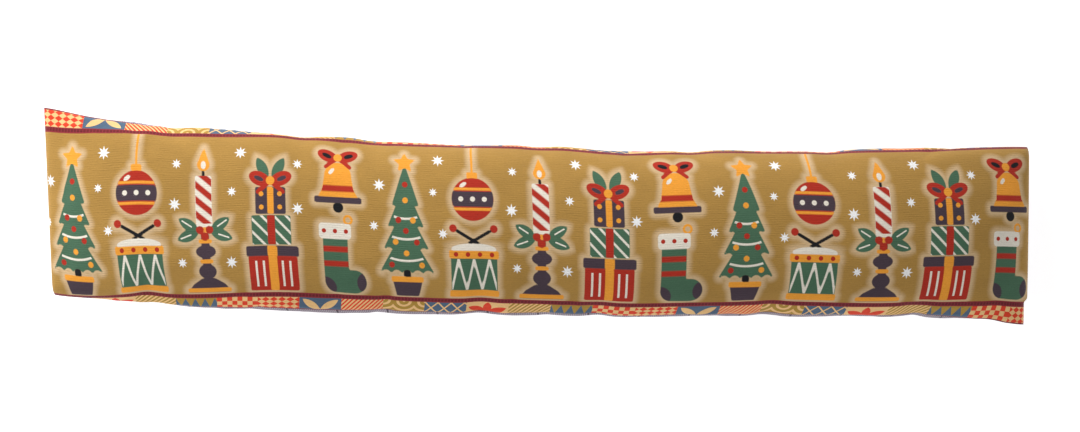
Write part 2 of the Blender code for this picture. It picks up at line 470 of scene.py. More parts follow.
# %% Press in the troughs
Pucker = namedtuple("Pucker", "along side depth reach spread")
PUCKERS = [
    Pucker(0.110, -1, 0.0022, 0.026, 0.012),
    Pucker(0.130, 1, 0.0020, 0.026, 0.015),
    Pucker(0.262, 1, 0.0022, 0.030, 0.012),
    Pucker(0.335, 1, 0.0016, 0.024, 0.013),
    Pucker(0.440, -1, 0.0030, 0.028, 0.012),
    Pucker(0.500, 1, 0.0020, 0.030, 0.014),
    Pucker(0.560, -1, 0.0022, 0.024, 0.012),
    Pucker(0.655, 1, 0.0026, 0.030, 0.013),
    Pucker(0.730, -1, 0.0026, 0.026, 0.012),
    Pucker(0.790, 1, 0.0026, 0.028, 0.014),
    Pucker(0.880, -1, 0.0024, 0.026, 0.012),
    Pucker(0.960, -1, 0.0034, 0.034, 0.009),
]
BACK_SHARE = 0.5


def puckered(form):
    """The troughs' move, down and in: a bell curve along the seam that dies away across the panel."""
    rows, around = form.shape[:2]
    at = np.linspace(0, 1, rows)[:, None]
    across = round_panels(around // 2)
    front = np.arange(around) < around // 2
    near = np.clip(FILLED_LONG * np.minimum(at, 1 - at) / END_TAPER, 0, 1)
    moved = np.zeros_like(form)
    for row in PUCKERS:
        away = np.abs(0.5 * FLAT_WIDE * row.side - across)
        bell = np.exp(-((FILLED_LONG * (at - row.along) / row.spread) ** 2) - away / row.reach)
        moved[..., 1] -= near * row.side * row.depth * bell
        moved[..., 2] -= near * row.depth * bell * np.where(front, 1.0, -BACK_SHARE)
    return moved


form = form + puckered(form) + wrinkles
form[..., 2] = np.maximum(form[..., 2], 0)
print("with troughs and wrinkles, in mm:", box_of(form))

# %% [markdown]
# ## The two panels, finely
#
# The print needs a fine surface, so each panel is drawn again as a smooth
# surface through the simulated points, three times finer on the printed front
# than on the back. Rows crowd towards the seams, where the thread pulls a
# narrow groove with small gathers beside it.

# %% Draw the panels finely
FINE_ROWS = 521
BACK_STEPS = 44
FRONT_STEPS = 3 * BACK_STEPS
CROWDING = 0.3
GROOVE_DEEP, GROOVE_HALF = 0.0009, 0.0016
ROLL_HIGH, ROLL_AWAY, ROLL_HALF = 0.0005, 0.0045, 0.0030
GATHER_DEEP, GATHER_REACH, GATHER_PITCH = 0.0005, 0.010, 0.0075
GROOVE_FADE, END_FADE = 0.02, 0.008
SIDE_FADE, SEAM_SHARE = 0.002, 0.6
TUCK_AT, TUCK_SOFT, TUCK_REACH = -0.0685, 0.0014, 0.016
TUCK_OUT, TUCK_IN, TUCK_DEEP = 0.0017, 0.0012, 0.0012
FRONT_CHANCE, BACK_CHANCE = 7, 17

fine_along = np.linspace(-0.5, 0.5, FINE_ROWS) * FLAT_LONG


def spline(places, count):
    """A matrix that reads a smooth curve through count points at these places, counted in points.

    Each place is an average of the four points about it, with the weights of
    a uniform cubic B-spline. Past an end, the last step is repeated.
    """
    first = np.clip(np.floor(places).astype(int), 0, count - 2)
    t = places - first
    weights = [(1 - t) ** 3, 3 * t**3 - 6 * t**2 + 4, 1 + 3 * t + 3 * t**2 - 3 * t**3, t**3]
    matrix = np.zeros((len(places), count + 2))
    for step, weight in enumerate(weights):
        matrix[np.arange(len(places)), first + step] += weight / 6
    inner = matrix[:, 1:-1].copy()
    inner[:, 0] += 2 * matrix[:, 0]
    inner[:, 1] -= matrix[:, 0]
    inner[:, -1] += 2 * matrix[:, -1]
    inner[:, -2] -= matrix[:, -1]
    return inner


def crowded(steps):
    """Places across a panel from 1 at its first seam to -1 at its last, closer together by the seams."""
    even = np.linspace(1, -1, steps + 1)
    return (1 - CROWDING) * even + CROWDING * np.sin(0.5 * math.pi * even)


def finely(panel, places):
    """A panel's points read again at fine rows and at these places across."""
    along = spline(np.linspace(0, len(panel) - 1, FINE_ROWS), len(panel))
    across = spline(0.5 * (1 - places) * (panel.shape[1] - 1), panel.shape[1])
    return np.einsum("ar,rkc,ik->aic", along, panel, across)


def outward(panel):
    """Unit vectors out of a panel: the cross product of its steps along and across."""
    along, across = np.gradient(panel, axis=(0, 1))
    normal = np.cross(across, along)
    return normal / np.maximum(np.linalg.norm(normal, axis=2, keepdims=True), 1e-12)


def chance_line(pitch, seed):
    """A smooth random line along the cushion, from -1 to 1: a spline through heights a pitch apart."""
    count = int(FLAT_LONG / pitch) + 1
    heights = np.random.default_rng(seed).uniform(-1, 1, count)
    return spline(np.linspace(0, count - 1, FINE_ROWS), count) @ heights


def sewn(panel, places, seed):
    """A panel with its seams drawn in: a groove, a soft roll beside it, and gathers that die away."""
    v = 0.5 * FLAT_WIDE * places
    to_end = 0.5 * FLAT_LONG - np.abs(fine_along[:, None])
    to_side = 0.5 * FLAT_WIDE - np.abs(v)
    out = np.zeros(panel.shape[:2])
    out -= GROOVE_DEEP * np.exp(-((to_side / GROOVE_HALF) ** 2)) * np.clip(to_end / GROOVE_FADE, 0, 1)
    out += ROLL_HIGH * np.exp(-(((to_side - ROLL_AWAY) / ROLL_HALF) ** 2))
    for sign in (1, -1):
        ripple = chance_line(GATHER_PITCH, seed + sign)[:, None]
        out += GATHER_DEEP * ripple * np.exp(-to_side / GATHER_REACH) * (np.sign(v) == sign)
    out *= np.clip(to_end / END_FADE, 0, 1) * np.clip(to_side / SIDE_FADE + SEAM_SHARE, 0, 1)
    return panel + out[..., None] * outward(panel)


def tucked(panel, places):
    """The lower corner of the right end drawn in by its seam: a soft step in X beside a short crease.

    The step runs across the panel at one height and dies away from the end;
    the crease is a bell curve along the step.
    """
    to_end = 0.5 * FLAT_LONG - fine_along[:, None]
    v = 0.5 * FLAT_WIDE * places
    fade = np.exp(-((to_end / TUCK_REACH) ** 2))
    step = 0.5 + 0.5 * np.tanh((v - TUCK_AT) / TUCK_SOFT)
    moved = panel.copy()
    moved[..., 0] += fade * (TUCK_OUT * step - TUCK_IN * (1 - step))
    moved[..., 2] -= TUCK_DEEP * fade * np.exp(-(((v - TUCK_AT) / (2 * TUCK_SOFT)) ** 2))
    return moved


front_places, back_places = crowded(FRONT_STEPS), crowded(BACK_STEPS)
front_points = finely(form[:, : PANEL_ROWS + 1], front_places)
back_points = finely(np.concatenate([form[:, PANEL_ROWS:], form[:, :1]], axis=1), back_places)
front_points = tucked(sewn(front_points, front_places, FRONT_CHANCE), front_places)
back_points = tucked(sewn(back_points, back_places, BACK_CHANCE), -back_places)
print("front panel points:", front_points.shape[:2], "back panel points:", back_points.shape[:2])

# %% [markdown]
# ## One closed skin
#
# The panels share the points of their seams, so the cover is closed and can
# be called filled. At the ends one step of the back meets three of the front,
# in a strip of six-cornered faces.

# %% Join the panels
front_numbers = np.arange(FINE_ROWS * (FRONT_STEPS + 1)).reshape(FINE_ROWS, FRONT_STEPS + 1)
back_numbers = np.zeros((FINE_ROWS, BACK_STEPS + 1), int)
inner = back_numbers[1:-1, 1:-1]
inner[:] = front_numbers.size + np.arange(inner.size).reshape(inner.shape)
back_numbers[:, 0] = front_numbers[:, -1]
back_numbers[:, -1] = front_numbers[:, 0]
for row in (0, -1):
    back_numbers[row] = front_numbers[row, ::-3]


def quads(numbers):
    """The faces of a grid of point numbers, turned outwards."""
    corners = [numbers[:-1, :-1], numbers[:-1, 1:], numbers[1:, 1:], numbers[1:, :-1]]
    return np.stack(corners, axis=-1).reshape(-1, 4)


def end_strip(end_row, inner_row):
    """Faces of six corners between the front's end row and the first row of the back inside it."""
    steps = np.arange(BACK_STEPS)
    seam = front_numbers[end_row, ::-1]
    corners = [seam[3 * steps + k] for k in range(4)]
    corners += [back_numbers[inner_row, steps + 1], back_numbers[inner_row, steps]]
    return np.stack(corners, axis=-1)


front_faces = quads(front_numbers)
back_faces = quads(back_numbers[1:-1])
end_faces = [end_strip(0, 1), end_strip(-1, -2)[:, ::-1]]
points = np.concatenate([front_points.reshape(-1, 3), back_points[1:-1, 1:-1].reshape(-1, 3)])
points[:, 2] = np.maximum(points[:, 2], 0)
faces = [*front_faces.tolist(), *back_faces.tolist(), *end_faces[0].tolist(), *end_faces[1].tolist()]
skin = bpy.data.meshes.new("printed_cover")
skin.from_pydata(points.tolist(), [], faces)
skin.polygons.foreach_set("use_smooth", np.ones(len(faces), bool))
on_back = np.arange(len(faces)) >= len(front_faces)
skin.polygons.foreach_set("material_index", on_back.astype(np.int32))
cover = bpy.data.objects.new("printed_cover", skin)
bpy.context.scene.collection.objects.link(cover)
triangles = sum(len(face) - 2 for face in faces)
print("cover triangles:", triangles, "clean mesh:", not skin.validate(verbose=False))

# %% [markdown]
# ## Where each point lies on the flat cloth
#
# A printed pattern belongs to the cloth and not to the room, so each point
# keeps its place on the flat panel, in millimetres from the panel's middle.
# The materials read it as an attribute, and the pattern bends with the form.
# Near the left end the filling spreads the velvet, which gives a little: the
# print is wider there, and its border narrower.

# %% Keep the flat places
STRETCH_MOST, STRETCH_AT, STRETCH_REACH = 0.06, -385.0, 80.0
STRETCH_FROM_END = 50.0


def keep(name, values):
    """Stores one number or one vector for each point of the cover."""
    kind, field = ("FLOAT", "value") if values.ndim == 1 else ("FLOAT_VECTOR", "vector")
    attribute = skin.attributes.new(name, kind, "POINT")
    attribute.data.foreach_set(field, values.astype(np.float32).ravel())


def flat_places(rows, places):
    """U along the panel and V across it for a grid, in millimetres, with 0 third.

    Where the velvet is stretched, V grows more slowly: by a bell curve along
    the panel, fading towards the end, and not at all at the seams.
    """
    u = (fine_along[rows] * MM)[:, None]
    stretch = STRETCH_MOST * np.exp(-(((u - STRETCH_AT) / STRETCH_REACH) ** 2))
    stretch *= np.clip((0.5 * FLAT_LONG * MM + u) / STRETCH_FROM_END, 0, 1)
    v = 0.5 * FLAT_WIDE * MM * places * (1 - stretch * (1 - places**6))
    return np.stack(np.broadcast_arrays(u, v, 0.0), axis=-1).reshape(-1, 3)


front_flat = flat_places(slice(None), front_places)
back_flat = flat_places(slice(1, -1), -back_places[1:-1])
keep("flat_place", np.concatenate([front_flat, back_flat]))
print("flat panel in mm:", np.round(front_flat.max(axis=0) - front_flat.min(axis=0), 1))

# %% [markdown]
# ## Drawing the print as distances
#
# The print is a row of winter motifs on ochre, each with a pale glow round it,
# and white stars between them. Each ink could be a picture file, but a picture
# blurs when it comes near. Here each shape is a formula that gives the
# distance to its edge, negative inside. Each point of the cover keeps one such
# distance for each ink, and the material draws a sharp edge where it is zero.
#
# Thin lines and small dots need more care, because the points of the cover are
# about 1.5 mm apart. A line keeps how far across it a point lies, and a dot
# keeps X and Y about its own middle. Both change evenly from point to point,
# so nothing is lost between the points, and the material finds the edge.

# %% Shapes as distances
INKS = ["green", "navy", "red", "gold", "cream", "black"]
FAR = 30.0
BLEED = 0.3

Area = namedtuple("Area", "ink edge")
Line = namedtuple("Line", "ink across half past")
Dot = namedtuple("Dot", "ink x y radius")


def disc(x, y, middle_x, middle_y, radius):
    """The distance to the middle, less the radius."""
    return np.hypot(x - middle_x, y - middle_y) - radius


def slab(x, y, left, right, low, high, rounding=1.2):
    """A box with round corners: how far past its sides, the two ways joined as sides of a right angle."""
    over_x = np.abs(x - 0.5 * (left + right)) - 0.5 * (right - left) + rounding
    over_y = np.abs(y - 0.5 * (low + high)) - 0.5 * (high - low) + rounding
    outside = np.hypot(np.maximum(over_x, 0), np.maximum(over_y, 0))
    return outside + np.minimum(np.maximum(over_x, over_y), 0) - rounding


def oval(x, y, middle_x, middle_y, half_wide, half_high, turn=0.0):
    """An ellipse, turned by some degrees: its equation, divided by how fast that changes."""
    c, s = math.cos(math.radians(turn)), math.sin(math.radians(turn))
    along = (c * (x - middle_x) + s * (y - middle_y)) / half_wide
    over = (c * (y - middle_y) - s * (x - middle_x)) / half_high
    reach = np.hypot(along, over)
    return reach * (reach - 1) / np.maximum(np.hypot(along / half_wide, over / half_high), 1e-6)


def beside(x, y, start, end):
    """Along a line from its start and across it, in millimetres, and the line's length."""
    step_x, step_y = end[0] - start[0], end[1] - start[1]
    long = math.hypot(step_x, step_y)
    along = ((x - start[0]) * step_x + (y - start[1]) * step_y) / long
    across = ((y - start[1]) * step_x - (x - start[0]) * step_y) / long
    return along, across, long


def bar(x, y, start, end, half):
    """A straight line with round ends: the distance to the nearest place on it, less half its width."""
    along, across, long = beside(x, y, start, end)
    return np.hypot(along - np.clip(along, 0, long), across) - half


def leaf(x, y, start, end, half):
    """A pointed oval: where two equal discs overlap, one on each side of the line from stem to tip."""
    along, across, long = beside(x, y, start, end)
    radius = (0.25 * long**2 + half**2) / (2 * half)
    return np.hypot(along - 0.5 * long, np.abs(across) + radius - half) - radius


def patch(x, y, corners):
    """A shape with straight sides: the nearest side, and inside where an odd number lies to the right."""
    nearest = np.full_like(x, np.inf)
    inside = np.zeros(x.shape, bool)
    for start, end in zip(corners, corners[1:] + corners[:1]):
        nearest = np.minimum(nearest, bar(x, y, start, end, 0.0))
        crosses = (start[1] > y) != (end[1] > y)
        rise = end[1] - start[1] or 1.0
        inside ^= crosses & (x < start[0] + (y - start[1]) * (end[0] - start[0]) / rise)
    return np.where(inside, -nearest, nearest)


def both(*shapes):
    """Where all the shapes overlap: the largest distance."""
    return np.maximum.reduce(shapes)


def either(*shapes):
    """The shapes together: the smallest distance."""
    return np.minimum.reduce(shapes)


def rails(values, first, pitch):
    """Across many even lines: a wave of straight rises and falls that is zero on each line."""
    turned = np.mod(values - first + 0.5 * pitch, 2 * pitch)
    return np.abs(turned - pitch) - 0.5 * pitch


# %% [markdown]
# ## Five motifs
#
# Each motif stands on the lower printed stripe, or hangs from the upper one,
# in a column 60 mm wide. Its function gives its areas in the order in which
# they cover each other, and then its thin lines and dots, which lie on top. X
# is measured from the column's middle and Y up from the lower stripe, in
# millimetres.

# %% A fir tree in a pot
Tier = namedtuple("Tier", "low half high")
TIERS = [Tier(24, 22.5, 61), Tier(44, 18.5, 79), Tier(63, 14.5, 96), Tier(81, 10.5, 113)]
BALL_RADIUS = 2.5
RED_BALLS = [(-13.5, 29.5), (9.5, 49), (0, 58.5), (-6.5, 67.5), (0, 98)]
GOLD_BALLS = [(13.5, 29.5), (0, 39.5), (-9.5, 49), (6.5, 67.5), (0, 84.5)]


def star_corners(middle_x, middle_y, outer, inner, points):
    """The corners of a star, in turn far out and near in, from the top one round."""
    turns = [math.pi * k / points for k in range(2 * points)]
    reach = [outer, inner] * points
    return [(middle_x + r * math.sin(a), middle_y + r * math.cos(a)) for r, a in zip(reach, turns)]


def fir_tree(x, y):
    """A trunk in a pot, four green tiers with cream garlands, coloured balls, and a gold star."""
    shapes = [
        Area("black", slab(x, y, -3.2, 3.2, 14, 28)),
        Area("navy", patch(x, y, [(-13, 17), (13, 17), (9.5, 1.8), (-9.5, 1.8)]) - 0.6),
        Area("gold", slab(x, y, -14.5, 14.5, 14.5, 19.5)),
    ]
    garlands = []
    for low, half, high in TIERS:
        tier = patch(x, y, [(-half, low), (half, low), (0, high)]) - 1.2
        for k in range(-2, 3):
            tier = both(tier, -disc(x, y, 0.42 * half * k, low - 3.4, 0.2 * half))
        shapes.append(Area("green", tier))
        across = disc(x, y, 0, low + 2.6 * half, 2.2 * half)
        garlands.append(Line("cream", across, 0.95, both(tier + 1.8, y - low - 1.1 * half)))
    shapes.append(Area("gold", patch(x, y, star_corners(0, 118, 9.5, 4.4, 5)) - 0.5))
    balls = [Dot("red", *place, BALL_RADIUS) for place in RED_BALLS]
    balls += [Dot("gold", *place, BALL_RADIUS) for place in GOLD_BALLS]
    return shapes + garlands[:3] + balls


# %% A glass ball over a drum
def ball_and_drum(x, y):
    """A red ball with a navy belt on a gold cord, over a green drum laced with cream and two sticks."""
    ball = disc(x, y, 0, 87, 18.5)
    drum = slab(x, y, -20.5, 20.5, 3, 42)
    steep = 4.07
    lacing = steep * rails(x, 3.42, 6.83) + 22.3 - y
    shapes = [
        Area("gold", slab(x, y, -4.8, 4.8, 104, 110.5)),
        Area("red", ball),
        Area("navy", both(ball, np.abs(y - 87) - 6.8)),
        Area("cream", oval(x, y, -8.2, 99.2, 3.6, 1.7, 35)),
    ]
    for side in (-1, 1):
        shapes.append(Area("black", bar(x, y, (18 * side, 62), (-8 * side, 47), 1.4)))
        shapes.append(Area("red", disc(x, y, 18 * side, 62, 3.4)))
    shapes += [
        Area("cream", oval(x, y, 0, 44.5, 20, 5.0)),
        Area("green", drum),
        Area("gold", slab(x, y, -22, 22, 1.8, 8.2)),
        Area("gold", slab(x, y, -22, 22, 36.5, 43.5)),
        Line("gold", x, 1.0, 110 - y),
        Line("gold", np.abs(y - 87) - 8.6, 1.2, ball),
        Line("cream", lacing / math.hypot(steep, 1.0), 0.95, both(np.abs(x) - 20, 8.5 - y, y - 36.2)),
    ]
    shapes += [Dot("cream", 10.4 * k, 87, 2.2) for k in (-1, 0, 1)]
    return shapes + [Dot("red", 10.6 * k, 40, 2.0) for k in (-1.5, -0.5, 0.5, 1.5)]


# %% A candle in a stick with leaves
def candle(x, y):
    """A cream candle with a red spiral and a gold flame, on a navy stick with leaves and berries."""
    stem = slab(x, y, -3.6, 3.6, 8, 54)
    wax = slab(x, y, -7.4, 7.4, 58, 102)
    flame = either(disc(x, y, 0, 111.5, 5.6), patch(x, y, [(-4.6, 114.6), (4.6, 114.6), (0, 127)]))
    shapes = [
        Area("navy", either(stem, oval(x, y, 0, 21, 8, 6.5), oval(x, y, 0, 38, 9, 5.5))),
        Area("gold", either(slab(x, y, -6, 6, 28, 31.5), slab(x, y, -6, 6, 45, 48.5))),
        Area("navy", patch(x, y, [(-19, 2.4), (19, 2.4), (14, 9), (6, 14), (-6, 14), (-14, 9)]) - 0.8),
        Area("gold", slab(x, y, -20, 20, 1.8, 6)),
        Area("cream", wax),
        Area("gold", slab(x, y, -14, 14, 54, 59)),
    ]
    leaves = [((5 * side, 55), (out * side, up)) for side in (-1, 1) for out, up in ((23, 66), (25, 48))]
    berries = [disc(x, y, *middle, 3.6) for middle in ((-4.2, 56.5), (4.2, 56.5), (0, 50.5))]
    shapes += [Area("green", leaf(x, y, *ends, 4.8)) for ends in leaves]
    shapes += [
        Area("red", either(*berries)),
        Area("black", bar(x, y, (0, 102), (0, 106.5), 1.3)),
        Area("gold", flame),
        Area("cream", oval(x, y, 0, 111.2, 2.2, 3.6)),
        Line("red", rails(0.8 * x + y, 64.0, 12.5) / 1.28, 2.6, both(wax, 61.5 - y)),
    ]
    for ends in leaves:
        along, across, long = beside(x, y, *ends)
        shapes.append(Line("cream", across, 0.6, np.abs(along - 0.6 * long) - 0.25 * long))
    return shapes


# %% A stack of wrapped boxes
BOW_LEAN = 24


def bow(x, y, middle_y, size, lining, hollow):
    """One ribbon's areas: two red loops with two tails, the lining seen in each loop, and a gold knot."""
    ribbon, lined = [], []
    for side in (1, -1):
        tail = (side * 1.1 * size, middle_y - 0.9 * size)
        loop = (side * 0.95 * size, middle_y + 0.22 * size, size, 0.6 * size)
        ribbon += [bar(x, y, (0, middle_y), tail, 0.2 * size), oval(x, y, *loop, BOW_LEAN * side)]
        lined.append(oval(x, y, side * hollow[0], *hollow[1:], BOW_LEAN * side))
    knot = disc(x, y, 0, middle_y + 0.5, 3.8)
    return [Area("red", either(*ribbon)), Area(lining, either(*lined)), Area("gold", knot)]


def boxes(x, y):
    """Three wrapped boxes, each smaller than the one under it, with a bow and two leaves on top."""
    middle = slab(x, y, -17.5, 17.5, 42, 67)
    aside = np.abs(x)
    shapes = [
        Area("red", slab(x, y, -22, 22, 1.8, 35)),
        Area("gold", slab(x, y, -3.8, 3.8, 1.8, 35, 0.2)),
        Area("navy", slab(x, y, -23.5, 23.5, 32, 41)),
        Area("gold", slab(x, y, -4.4, 4.4, 32, 41, 0.4)),
        Area("green", middle),
        Area("red", slab(x, y, -3.4, 3.4, 42, 67, 0.2)),
        Area("navy", slab(x, y, -13.5, 13.5, 68, 91)),
        Area("gold", slab(x, y, -2.8, 2.8, 68, 91, 0.2)),
        Area("green", either(leaf(x, y, (2, 97), (12, 117), 4.6), leaf(x, y, (-2, 97), (-12, 117), 4.6))),
        *bow(x, y, 96, 10.0, "navy", (10.2, 98.4, 5.0, 2.2)),
        Line("cream", rails(aside, 8.5, 6.8), 0.95, both(np.abs(y - 17) - 11.5, aside - 18.5, 5 - aside)),
        Line("cream", rails(x + y, 3.0, 11) / 1.41, 1.0, both(middle, 3.3 - aside)),
    ]
    return shapes + [Dot("gold", 8.2 * i, 79.5 + 5.6 * j, 2.1) for i in (-1, 1) for j in (-1, 1)]


# %% A bell over a stocking
def bell_and_stocking(x, y):
    """A gold bell under a red bow, over a green stocking with red bands and a cream cuff."""
    bell = either(
        disc(x, y, 0, 103, 12),
        patch(x, y, [(-12, 103), (12, 103), (14, 91), (19, 83), (-19, 83), (-14, 91)]),
    )
    leg = slab(x, y, -14.5, 7.5, 14, 56)
    sock = either(leg, bar(x, y, (-3.8, 12.6), (12, 12.2), 10.7))
    shapes = [
        Area("black", disc(x, y, 0, 76, 4.6)),
        Area("gold", bell),
        Area("cream", oval(x, y, -5.6, 107, 3.6, 1.6, 50)),
        Area("navy", slab(x, y, -21, 21, 79.5, 85)),
        *bow(x, y, 119.5, 9.5, "black", (9.7, 121.8, 4.6, 2.1)),
        Area("green", sock),
        Area("navy", both(sock, either(disc(x, y, -15, 6, 10.5), disc(x, y, 24, 11.5, 10)))),
        Area("cream", slab(x, y, -17.8, 10.8, 49, 62.5, 3)),
        Line("red", y - 92, 2.7, bell),
        Line("red", rails(y, 28.0, 12.5), 2.4, both(leg, 20 - y, y - 47)),
        Line("gold", disc(x, y, 8.3, 65.6, 3.4), 1.0, 62 - y),
    ]
    return shapes + [Dot("red", 9.8 * k - 3.5, 55.8, 1.9) for k in (-1, 0, 1)]


# %% [markdown]
# ## Printing the row
#
# Fifteen columns, 60 mm apart, repeat the five motifs three times. An ink that
# is printed over another has to hide it, so an area also cuts the inks that
# the material lays on later, less a hair of bleed that hides the joint. Lines
# and dots are kept for the points within 2 mm of them, and elsewhere a large
# number says that none is near.

# %% Print the motifs
PITCH = 60.0
COLUMNS = 15
STRIPE_FROM, STRIPE_TO = 69.3, 74.2
NEAR, INK_NEAR = 2.0, 3.0
HAIR = 0.01
DEEP_INSIDE = -0.5
MOTIFS = [fir_tree, ball_and_drum, candle, boxes, bell_and_stocking]

flat = np.concatenate([front_flat, back_flat])
ink_edges = np.full((len(INKS), len(flat)), FAR)
any_edge = np.full(len(flat), FAR)
line_places = np.tile([FAR, FAR, 0.0], (len(flat), 1))
dot_places = np.tile([FAR, FAR, FAR], (len(flat), 1))
dot_inks = np.zeros(len(flat))
for number in range(COLUMNS):
    middle = PITCH * (number - 0.5 * (COLUMNS - 1))
    here = np.flatnonzero(np.abs(flat[: len(front_flat), 0] - middle) <= 0.5 * PITCH + HAIR)
    x, y = flat[here, 0] - middle, flat[here, 1] + STRIPE_FROM
    for shape in MOTIFS[number % len(MOTIFS)](x, y):
        place = INKS.index(shape.ink)
        if isinstance(shape, Area):
            edge = shape.edge
            later = np.ix_(np.arange(place + 1, len(INKS)), here)
            ink_edges[place, here] = np.minimum(ink_edges[place, here], edge)
            ink_edges[later] = np.maximum(ink_edges[later], -edge - BLEED)
        elif isinstance(shape, Line):
            edge = np.maximum(np.abs(shape.across) - shape.half, shape.past)
            row = [shape.across / shape.half, np.maximum(shape.past, DEEP_INSIDE), place + 0 * x]
            line_places[here[edge < NEAR]] = np.stack(row, axis=-1)[edge < NEAR]
        else:
            edge = disc(x, y, shape.x, shape.y, shape.radius)
            row = np.stack([x - shape.x, y - shape.y, 0 * x], axis=-1) / shape.radius
            dot_places[here[edge < NEAR]] = row[edge < NEAR]
            dot_inks[here[edge < INK_NEAR]] = place
        any_edge[here] = np.minimum(any_edge[here], edge)
for name, edge in zip(INKS, ink_edges):
    keep(name + "_ink", edge)
keep("any_ink", any_edge)
keep("line_place", line_places)
keep("dot_place", dot_places)
keep("dot_ink", dot_inks)
print("inked share of the front:", round(float((any_edge[: len(front_flat)] < 0).mean()), 2))

# %% [markdown]
# ## White stars
#
# The stars have fine points, so they are kept as the dots are: where a point
# lies about its star, in star radii. The third number is large away from the
# stars, which keeps one from showing between two points that follow unlike
# stars.

# %% Place the stars
Star = namedtuple("Star", "gap aside up radius")
STARS = [
    Star(0, 0.0, 121.0, 5.8), Star(0, -5.0, 92.0, 4.0), Star(0, 3.0, 57.0, 4.6),
    Star(1, 6.0, 112.0, 4.4), Star(1, 4.0, 78.0, 5.6), Star(1, 8.0, 29.0, 4.4),
    Star(2, 3.0, 122.0, 5.6), Star(2, -4.5, 88.0, 4.4), Star(2, -7.5, 28.0, 5.4),
    Star(3, -6.0, 112.0, 4.6), Star(3, -6.0, 73.0, 5.4),
    Star(4, 7.0, 97.0, 5.6), Star(4, 1.5, 62.0, 4.4),
]  # fmt: skip
STAR_REACH = 2.2

star_places = np.zeros((len(flat), 3))
star_places[:, 2] = FAR
for number in range(COLUMNS + 1):
    gap = PITCH * (number - 0.5 * COLUMNS)
    for star in (row for row in STARS if row.gap == (number - 1) % len(MOTIFS)):
        x = (flat[:, 0] - gap - star.aside) / star.radius
        y = (flat[:, 1] + STRIPE_FROM - star.up) / star.radius
        near = np.hypot(x, y) < STAR_REACH
        near[len(front_flat) :] = False
        star_places[near] = np.stack([x, y, 0 * x], axis=-1)[near]
keep("star_place", star_places)
print("stars:", len(STARS) * COLUMNS // len(MOTIFS))

# %% [markdown]
# ## The printed velvet
#
# The front is a short-pile polyester velvet with the print dyed into its pile.
# Velvet has no gloss: its pile catches light at grazing angles, which sheen
# gives. The pile lies in fine broken rows along the cushion. They are about a
# millimetre apart in the real cloth and are drawn at 1.9 mm, because finer
# rows are lost at the picture's scale. First come the ground, the glow and the
# areas of ink.

# %% The ink colours and the ground
GROUND = "#B48B46"
GLOW = "#E1C39B"
INK_COLOURS = {"green": "#4C7057", "navy": "#4C3E48", "red": "#B93121"}
INK_COLOURS |= {"gold": "#F9A63A", "cream": "#F4ECDD", "black": "#18191D"}
EDGE_SOFT = 0.35
GLOW_FROM, GLOW_TO, GLOW_MOST = 0.4, 7.0, 0.8

velvet, tree = new_material("printed_polyester_velvet")
flat_place = add(tree, "Attribute", attribute_name="flat_place").outputs["Vector"]
axes = add(tree, "SeparateXYZ", flat_place)
u, v = axes.outputs["X"], axes.outputs["Y"]
across = add(tree, "Math", v, operation="ABSOLUTE")

any_ink = add(tree, "Attribute", attribute_name="any_ink").outputs["Fac"]
glow = add(tree, "MapRange", any_ink, GLOW_FROM, GLOW_TO, GLOW_MOST, 0.0, interpolation_type="SMOOTHSTEP")
mix = {"data_type": "RGBA"}
colour = add(tree, "Mix", named={0: glow, 6: linear(GROUND), 7: linear(GLOW)}, **mix).outputs[2]
for name, ink in INK_COLOURS.items():
    edge = add(tree, "Attribute", attribute_name=name + "_ink").outputs["Fac"]
    covered = add(tree, "MapRange", edge, -EDGE_SOFT, EDGE_SOFT, 1.0, 0.0)
    colour = add(tree, "Mix", named={0: covered, 6: colour, 7: linear(ink)}, **mix).outputs[2]

# %% [markdown]
# Lines and dots lie over the areas. A line covers a point that is less than
# one half width across from its middle and not past its end; a dot covers one
# that is less than a radius away. One ramp turns the ink's number to a colour.

# %% Lay the lines and dots over
LINE_SOFT, DOT_SOFT = 0.25, 0.12


def set_steps(ramp, colours):
    """Gives a colour ramp one flat step for each colour, all equally long."""
    ramp.interpolation = "CONSTANT"
    for number, hex_colour in enumerate(colours):
        stop = ramp.elements[0] if number == 0 else ramp.elements.new(number / len(colours))
        stop.color = linear(hex_colour)
    ramp.elements.remove(ramp.elements[-1])


line_place = add(tree, "Attribute", attribute_name="line_place").outputs["Vector"]
line_place = add(tree, "SeparateXYZ", line_place)
aside = add(tree, "Math", line_place.outputs["X"], operation="ABSOLUTE")
on_line = add(tree, "MapRange", aside, 1 - LINE_SOFT, 1 + LINE_SOFT, 1.0, 0.0)
short_of_end = add(tree, "Math", line_place.outputs["Y"], 0.0, operation="LESS_THAN")
on_line = add(tree, "Math", on_line, short_of_end, operation="MULTIPLY")
dot_place = add(tree, "Attribute", attribute_name="dot_place").outputs["Vector"]
dot_place = add(tree, "VectorMath", dot_place, operation="LENGTH").outputs["Value"]
on_dot = add(tree, "MapRange", dot_place, 1 - DOT_SOFT, 1 + DOT_SOFT, 1.0, 0.0)
is_dot = add(tree, "Math", on_dot, 0.0, operation="GREATER_THAN")
dot_ink = add(tree, "Attribute", attribute_name="dot_ink").outputs["Fac"]
number = add(tree, "Mix", named={0: is_dot, 2: line_place.outputs["Z"], 3: dot_ink}).outputs[0]
share = add(tree, "Math", number, 1 / len(INKS), 0.5 / len(INKS), operation="MULTIPLY_ADD")
ramp = add(tree, "ValToRGB", share)
set_steps(ramp.color_ramp, [INK_COLOURS[name] for name in INKS])
covered = add(tree, "Math", on_line, on_dot, operation="MAXIMUM")
colour = add(tree, "Mix", named={0: covered, 6: colour, 7: ramp.outputs["Color"]}, **mix).outputs[2]

# %% [markdown]
# A star with eight points is folded into one sixteenth of itself: there its
# edge is one straight line, so a point is inside when its distance from the
# middle times a cosine is small enough.

